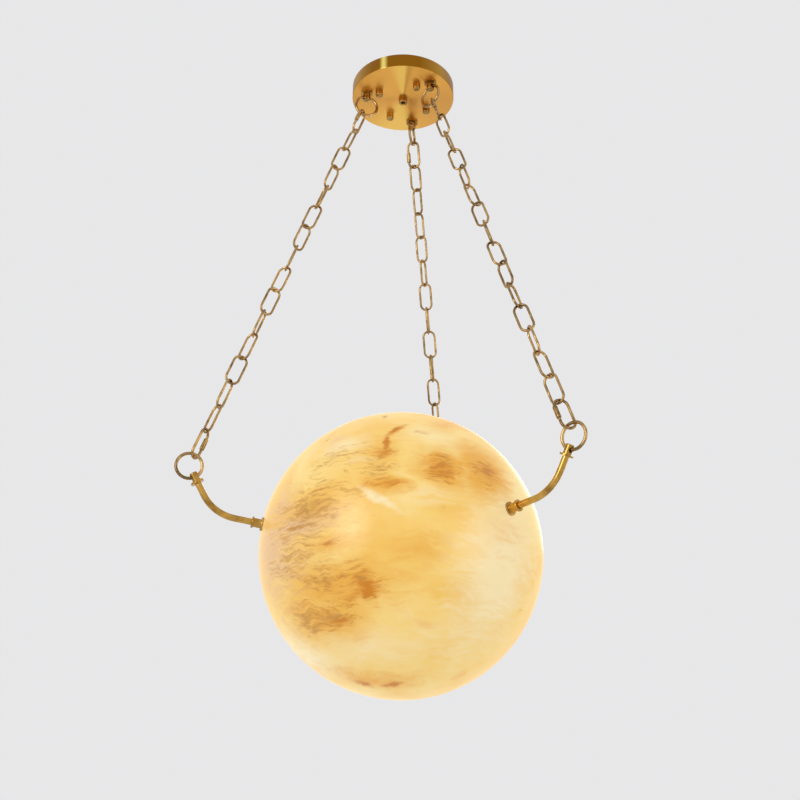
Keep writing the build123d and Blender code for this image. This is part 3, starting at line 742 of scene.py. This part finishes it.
FACE = -CANOPY_HEIGHT
bore = CANOPY_RADIUS - CANOPY_WALL
cup_outline = rounded([
    (0, FACE, False), (CANOPY_RADIUS, FACE, True), (CANOPY_RADIUS, 0, True),
    (bore, 0, True), (bore, FACE + CANOPY_FLOOR, False), (0, FACE + CANOPY_FLOOR, False),
], radius=0.5)
cup = lathe(cup_outline, steps=160, closed=False)
piece("canopy_shell", [cup], "canopy", canopy_brass, ["canopy_cup"])

nut_outline = rounded([
    (0, FACE - NUT_HEIGHT, False), (NUT_RADIUS, FACE - NUT_HEIGHT, True),
    (NUT_RADIUS, FACE, False), (0, FACE, False),
], radius=1.0)
nuts = []
for i in range(4):
    nut = lathe(nut_outline, steps=40, closed=False)
    nuts.append(moved(nut, turned(NUT_AZIMUTH + 90 * i) @ shifted(NUT_CIRCLE)))
piece("round_cap_nuts", nuts, "canopy", eye_brass, ["cap_nuts"])

bush_outline = rounded([
    (BUSH_BORE, FACE - BUSH_HEIGHT, True), (BUSH_RADIUS, FACE - BUSH_HEIGHT, True),
    (BUSH_RADIUS, FACE, False), (BUSH_NECK_RADIUS, FACE, False),
    (BUSH_NECK_RADIUS, FACE + BUSH_NECK, False), (BUSH_BORE, FACE + BUSH_NECK, False),
], radius=0.9)
bush = lathe(bush_outline, steps=48)
piece("cord_bush", [bush], "canopy", eye_brass, ["centre_bush"])


# Rings, connecting links and chains

def hanging_ring(end, name, middle):
    """The ring above or below a chain."""
    ring = moved(wire_ring(RING_RADIUS, RING_WIRE), place(middle, UP, radial(name)))
    node = f"{end}_ring_{name}"
    piece(f"{end}_hanging_ring_{name}", [ring], node, chain_brass, [node])


def quick_link(end, name, where, body):
    """The connecting link above or below a chain, and the threaded barrel that closes it."""
    node = f"{end}_connector_{name}"
    link = oval_link(CONNECTOR_LENGTH, CONNECTOR_WIDTH, CONNECTOR_WIRE, section=16, steps=18)
    piece(f"{end}_quick_link_{name}", [moved(link, where)], body, chain_brass, [node])
    half = SLEEVE_LENGTH / 2
    barrel_outline = rounded([
        (CONNECTOR_WIRE / 2, -half, False), (SLEEVE_RADIUS, -half, True),
        (SLEEVE_RADIUS, half, True), (CONNECTOR_WIRE / 2, half, False),
    ], radius=0.6)
    side = SLEEVE_SIDE[end][name] * (CONNECTOR_WIDTH - CONNECTOR_WIRE) / 2
    on_leg = where @ shifted(side, 0, SLEEVE_SHIFT[end][name])
    barrel = moved(lathe(barrel_outline, steps=32), on_leg)
    node = f"{end}_connector_sleeve_{name}"
    piece(f"{end}_quick_link_barrel_{name}", [barrel], body, chain_brass, [node])


def chain_links(name, top, down, start, end):
    """The links of one chain, each turned against the one before it."""
    count = round((end - start) / LINK_WISH)
    pitch = (end - start - LINK_GAP) / count
    length = pitch + LINK_GAP + 2 * LINK_WIRE
    chain = []
    for i in range(count):
        middle = top + down * (start + pitch * (i + 0.5) + LINK_GAP / 2)
        where = place(middle, down, tangent(name)) @ turned(FIRST_TURN[name] + TURN_STEP[name] * i)
        chain.append(moved(oval_link(length, LINK_WIDTH, LINK_WIRE, welded=True), where))
    piece(f"chain_links_{name}", chain, "chain_" + name, chain_brass, ["chain_" + name])


upper_ring_height = -CANOPY_HEIGHT - EYE_HOLE_DROP - RING_RADIUS
lower_ring_height = -BALL_DROP + LOWER_RING_UP
connector_inside = CONNECTOR_LENGTH - 2 * CONNECTOR_WIRE
ring_inside = RING_RADIUS - RING_WIRE / 2
# In the part's joints the ball hangs on the left chain, and the other two follow with more play
for name in ARM_AZIMUTH:
    top = spot(name, EYE_CIRCLE, upper_ring_height)
    bottom = spot(name, LOWER_RING_OUT, lower_ring_height)
    down = (bottom - top).normalized()
    reach = (bottom - top).length
    hanging_ring("upper", name, top)
    hanging_ring("lower", name, bottom)
    leads = name == "left"
    upper_start = ring_inside - (JOINT_GAP if leads else TILTED_GAP)
    lower_end = reach - ring_inside + (JOINT_GAP if leads else OPEN_GAP)
    upper_end = upper_start + connector_inside
    lower_start = lower_end - connector_inside
    lower_body = "lower_connector_left" if leads else "chain_" + name
    for end, along, body in (
        ("upper", (upper_start + upper_end) / 2, f"upper_connector_{name}"),
        ("lower", (lower_start + lower_end) / 2, lower_body),
    ):
        where = place(top + down * along, down, tangent(name)) @ turned(CONNECTOR_TURN[end][name])
        quick_link(end, name, where, body)
    chain_links(name, top, down, upper_end - JOINT_GAP, lower_start + JOINT_GAP)


# Arms and their collars, drawn in the XZ plane from the middle of the ball

def bent_pipe(start, direction, first, radius, angle, second, outer, inner):
    """A pipe that runs straight, bends up in the XZ plane and runs straight on."""
    shape = bmesh.new()
    ends = []
    for wall in (outer, inner):
        made = bmesh.ops.create_circle(shape, segments=28, radius=wall)
        loop = list({edge for vert in made["verts"] for edge in vert.link_edges})
        bmesh.ops.transform(shape, matrix=place(start, direction, Vector((0, 1, 0))), verts=made["verts"])
        up = Vector((-direction.z, 0, direction.x))
        end = run(shape, loop, direction * first)
        end = bend(shape, end, start + direction * first + up * radius, (0, -1, 0), angle, 20)
        rise = Matrix.Rotation(math.radians(-angle), 3, "Y") @ direction
        ends.append((loop, run(shape, end, rise * second)))
    for outer_end, inner_end in zip(*ends):
        bmesh.ops.bridge_loops(shape, edges=outer_end + inner_end)
    return shape


low, high = math.radians(ARM_RISE), math.radians(ARM_TIP_RISE)
out = Vector((math.cos(low), 0, math.sin(low)))
rise = Vector((math.cos(high), 0, math.sin(high)))
tip_hole = Vector((LOWER_RING_OUT, 0, LOWER_RING_UP)) - rise * RING_RADIUS
seat = BALL_RADIUS - SPOT_FACE_DEPTH
pipe_start = seat + GASKET + COLLAR_FLANGE
corner = (tip_hole.x * rise.z - tip_hole.z * rise.x) / (out.x * rise.z - out.z * rise.x)
bend_reach = ARM_BEND * math.tan((high - low) / 2)
tip_run = (tip_hole - out * corner).length - EYE_DISC_TOP - EYE_DISC - bend_reach
neck_end = pipe_start + COLLAR_NECK
collar_outline = rounded([
    (SPOKE_HOLE, seat + GASKET, False), (COLLAR_FLANGE_RADIUS, seat + GASKET, True),
    (COLLAR_FLANGE_RADIUS, pipe_start, True), (COLLAR_NECK_RADIUS, pipe_start, True),
    (COLLAR_NECK_RADIUS, neck_end, True), (COLLAR_CAP_RADIUS, neck_end, True),
    (COLLAR_CAP_RADIUS, neck_end + COLLAR_CAP, True), (COLLAR_BORE, neck_end + COLLAR_CAP, True),
    (COLLAR_BORE, pipe_start, False), (SPOKE_HOLE, pipe_start, False),
], radius=0.45)
for name in ARM_AZIMUTH:
    where = shifted(z=-BALL_DROP) @ turned(ARM_AZIMUTH[name])
    pipe = bent_pipe(
        out * pipe_start, out, corner - bend_reach - pipe_start,
        ARM_BEND, ARM_TIP_RISE - ARM_RISE, tip_run, ARM_RADIUS, ARM_BORE,
    )
    piece(f"arm_pipe_{name}", [moved(pipe, where)], "ball", arm_brass, [f"arm_tube_{name}"])
    collar = moved(lathe(collar_outline, steps=48), where @ place(Vector(), out, Vector((0, 1, 0))))
    node = f"arm_collar_{name}"
    piece(f"turned_collar_{name}", [collar], "ball", arm_brass, [node], crease=50)


# Ball and lid

def ball_arc(radius, from_latitude, to_latitude, steps):
    """Points of the ball's outline in (radius, height), from one latitude to another."""
    latitudes = [from_latitude + (to_latitude - from_latitude) * i / steps for i in range(steps + 1)]
    angles = [math.radians(latitude) for latitude in latitudes]
    return [(radius * math.cos(angle), radius * math.sin(angle)) for angle in angles]


def marble_shell(name, outline, steps, body, node):
    """A turned piece of the hollow ball."""
    shell = moved(lathe(outline, steps, closed=False), shifted(z=-BALL_DROP))
    piece(name, [shell], body, marble, [node], crease=30)


lid_latitude = math.degrees(math.acos(LID_RADIUS / BALL_RADIUS))
lid_edge = lid_latitude + math.degrees(LID_GAP / BALL_RADIUS)
inside = BALL_RADIUS - BALL_WALL
ball_outline = ball_arc(BALL_RADIUS, -90, lid_latitude, 110) + ball_arc(inside, lid_latitude, -90, 60)
marble_shell("marble_globe", ball_outline, 220, "ball", "marble_ball")
lid_outline = ball_arc(BALL_RADIUS, lid_edge, 90, 20) + ball_arc(inside, 90, lid_edge, 14)
marble_shell("marble_cover", lid_outline, 160, "lid", "marble_lid")


# Finishes of the CAD nodes, zinc where no other is named

NODE_FINISH = {
    "centre_bush_nut": terminal_brass, "terminal_screws": terminal_brass,
    "earth_screw": terminal_brass, "earth_nut": terminal_brass, "lamp_hub": terminal_brass,
    "terminal_block": terminal_plastic, "lamp_holder": porcelain, "lamp_cap": cap_metal,
    "lamp_globe": lamp_glass, "lid_seal": silicone, "arm_gaskets": silicone,
}
for name in ARM_AZIMUTH:
    NODE_FINISH[f"eye_bolt_{name}"] = eye_brass
    for kind in ("arm_tube", "arm_eye", "arm_collar"):
        NODE_FINISH[f"{kind}_{name}"] = arm_brass
for node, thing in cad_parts.items():
    thing.data.materials.clear()
    thing.data.materials.append(NODE_FINISH.get(node, zinc_steel))


# Floor, backdrop and lights

STUDIO_GREY = (0.80, 0.80, 0.81)
FLOOR_HEIGHT = -3.6
FLOOR_RADIUS = 14.0
FLOOR_GLOW = 0.63
ROOM_TINT = (0.9, 0.93, 1.0)
ROOM_LIGHT = 0.35


def pale_for_the_eye(nodes, links):
    """1 where the camera, a mirror or glass sees the surface, 0 where it only lights the lamp."""
    seen = add(nodes, "ShaderNodeLightPath")
    direct = joined(nodes, links, "MAXIMUM", seen.outputs["Is Camera Ray"], seen.outputs["Is Glossy Ray"])
    return joined(nodes, links, "MAXIMUM", direct, seen.outputs["Is Transmission Ray"])


def floor_paint(colour):
    made, nodes, links, shader = material("floor_paint")
    coords = add(nodes, "ShaderNodeTexCoord")
    grain = noise(nodes, links, coords.outputs["Object"], 3.0, 2)
    tint = ramp(nodes, [(0.3, tuple(channel * 0.985 for channel in colour)), (0.7, colour)])
    links.new(grain.outputs["Fac"], tint.inputs["Fac"])
    links.new(tint.outputs["Color"], shader.inputs["Base Color"])
    links.new(tint.outputs["Color"], shader.inputs["Emission Color"])
    glow = joined(nodes, links, "MULTIPLY", pale_for_the_eye(nodes, links), FLOOR_GLOW)
    links.new(glow, shader.inputs["Emission Strength"])
    shader.inputs["Roughness"].default_value = 0.9
    return made


floor_mesh = bmesh.new()
bmesh.ops.create_circle(floor_mesh, cap_ends=True, segments=96, radius=FLOOR_RADIUS)
bmesh.ops.translate(floor_mesh, vec=(0, 0, FLOOR_HEIGHT), verts=floor_mesh.verts)
floor_data = bpy.data.meshes.new("floor")
floor_mesh.to_mesh(floor_data)
floor_mesh.free()
floor_data.materials.append(floor_paint(STUDIO_GREY))
floor = bpy.data.objects.new("floor", floor_data)
bpy.context.scene.collection.objects.link(floor)

world = bpy.data.worlds.new("studio")
bpy.context.scene.world = world
world.use_nodes = True
world_nodes, world_links = world.node_tree.nodes, world.node_tree.links
backdrop = world_nodes["Background"]
backdrop.inputs["Color"].default_value = (*STUDIO_GREY, 1)
backdrop.inputs["Strength"].default_value = 1.0
room = add(world_nodes, "ShaderNodeBackground")
room.inputs["Color"].default_value = (*ROOM_TINT, 1)
room.inputs["Strength"].default_value = ROOM_LIGHT
mixed = add(world_nodes, "ShaderNodeMixShader")
world_links.new(pale_for_the_eye(world_nodes, world_links), mixed.inputs[0])
world_links.new(room.outputs["Background"], mixed.inputs[1])
world_links.new(backdrop.outputs["Background"], mixed.inputs[2])
world_links.new(mixed.outputs["Shader"], world_nodes["World Output"].inputs["Surface"])


def softbox(name, location, target, width, height, watts):
    data = bpy.data.lights.new(name, "AREA")
    data.shape = "RECTANGLE"
    data.size, data.size_y = width, height
    data.energy = watts
    lamp = bpy.data.objects.new(name, data)
    lamp.location = location
    lamp.rotation_euler = (Vector(target) - Vector(location)).to_track_quat("-Z", "Y").to_euler()
    bpy.context.scene.collection.objects.link(lamp)


softbox("key_light", (-1.6, -2.0, -0.1), (0, 0, -0.45), width=1.2, height=1.6, watts=26)
softbox("fill_light", (1.9, -1.4, -0.6), (0, 0, -0.45), width=1.0, height=1.6, watts=9)
softbox("back_light", (0.4, 2.2, 0.2), (0, 0, -0.4), width=1.6, height=0.8, watts=9)

bpy.context.scene.view_settings.view_transform = "Standard"
